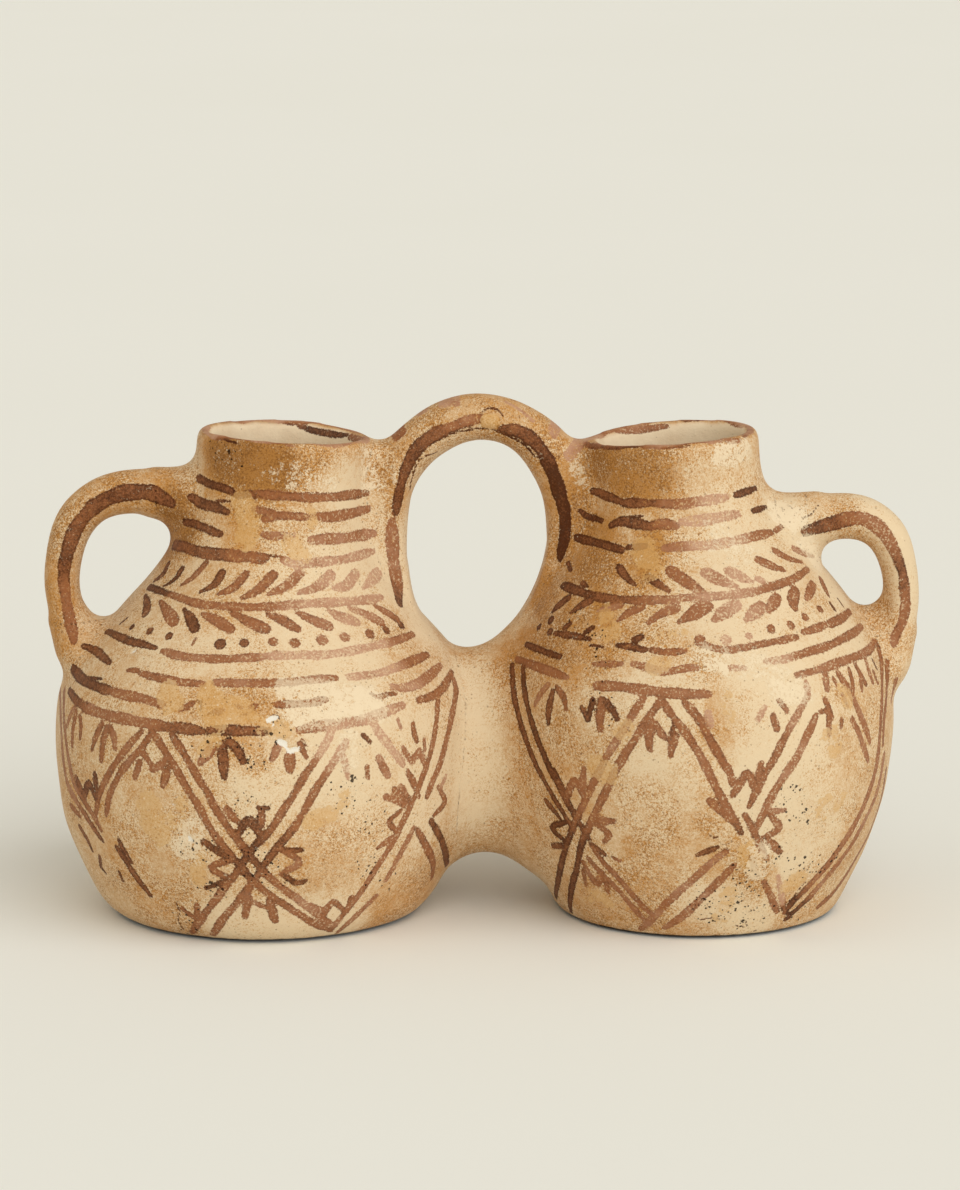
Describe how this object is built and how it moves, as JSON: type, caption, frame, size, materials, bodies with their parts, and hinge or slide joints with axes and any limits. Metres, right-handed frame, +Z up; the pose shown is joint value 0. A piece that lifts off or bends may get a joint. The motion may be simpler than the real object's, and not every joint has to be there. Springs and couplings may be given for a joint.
{
  "type": "double vase",
  "caption": "Twin round clay jars that lean together, joined at the belly and by an arched strap handle, with side loop handles and painted brown bands, leaf rows and lattice.",
  "frame": {"origin": "on the table, midway between the ends of the two side handles and midway front to back", "axes": "+X from the left jar to the right jar as seen from the painted front, +Y away from that front, +Z up"},
  "size_m": [0.3001, 0.1458, 0.1795],
  "materials": {
    "painted_clay": "satin, burnished buff clay with worn brown slip painting",
    "bare_clay": "matt, bare buff clay",
    "soft_clay": "matt, pale smoothed clay at the joints"
  },
  "bodies": {
    "root": {"left_floor": "bare_clay", "left_belly": "painted_clay", "left_neck": "painted_clay", "right_floor": "bare_clay", "right_belly": "painted_clay", "right_neck": "painted_clay", "bridge": "bare_clay", "arch": "painted_clay", "left_handle": "painted_clay", "left_handle_upper_lute": "soft_clay", "left_handle_lower_lute": "soft_clay", "right_handle": "painted_clay", "right_handle_upper_lute": "soft_clay", "right_handle_lower_lute": "soft_clay"}
  },
  "joints": []
}
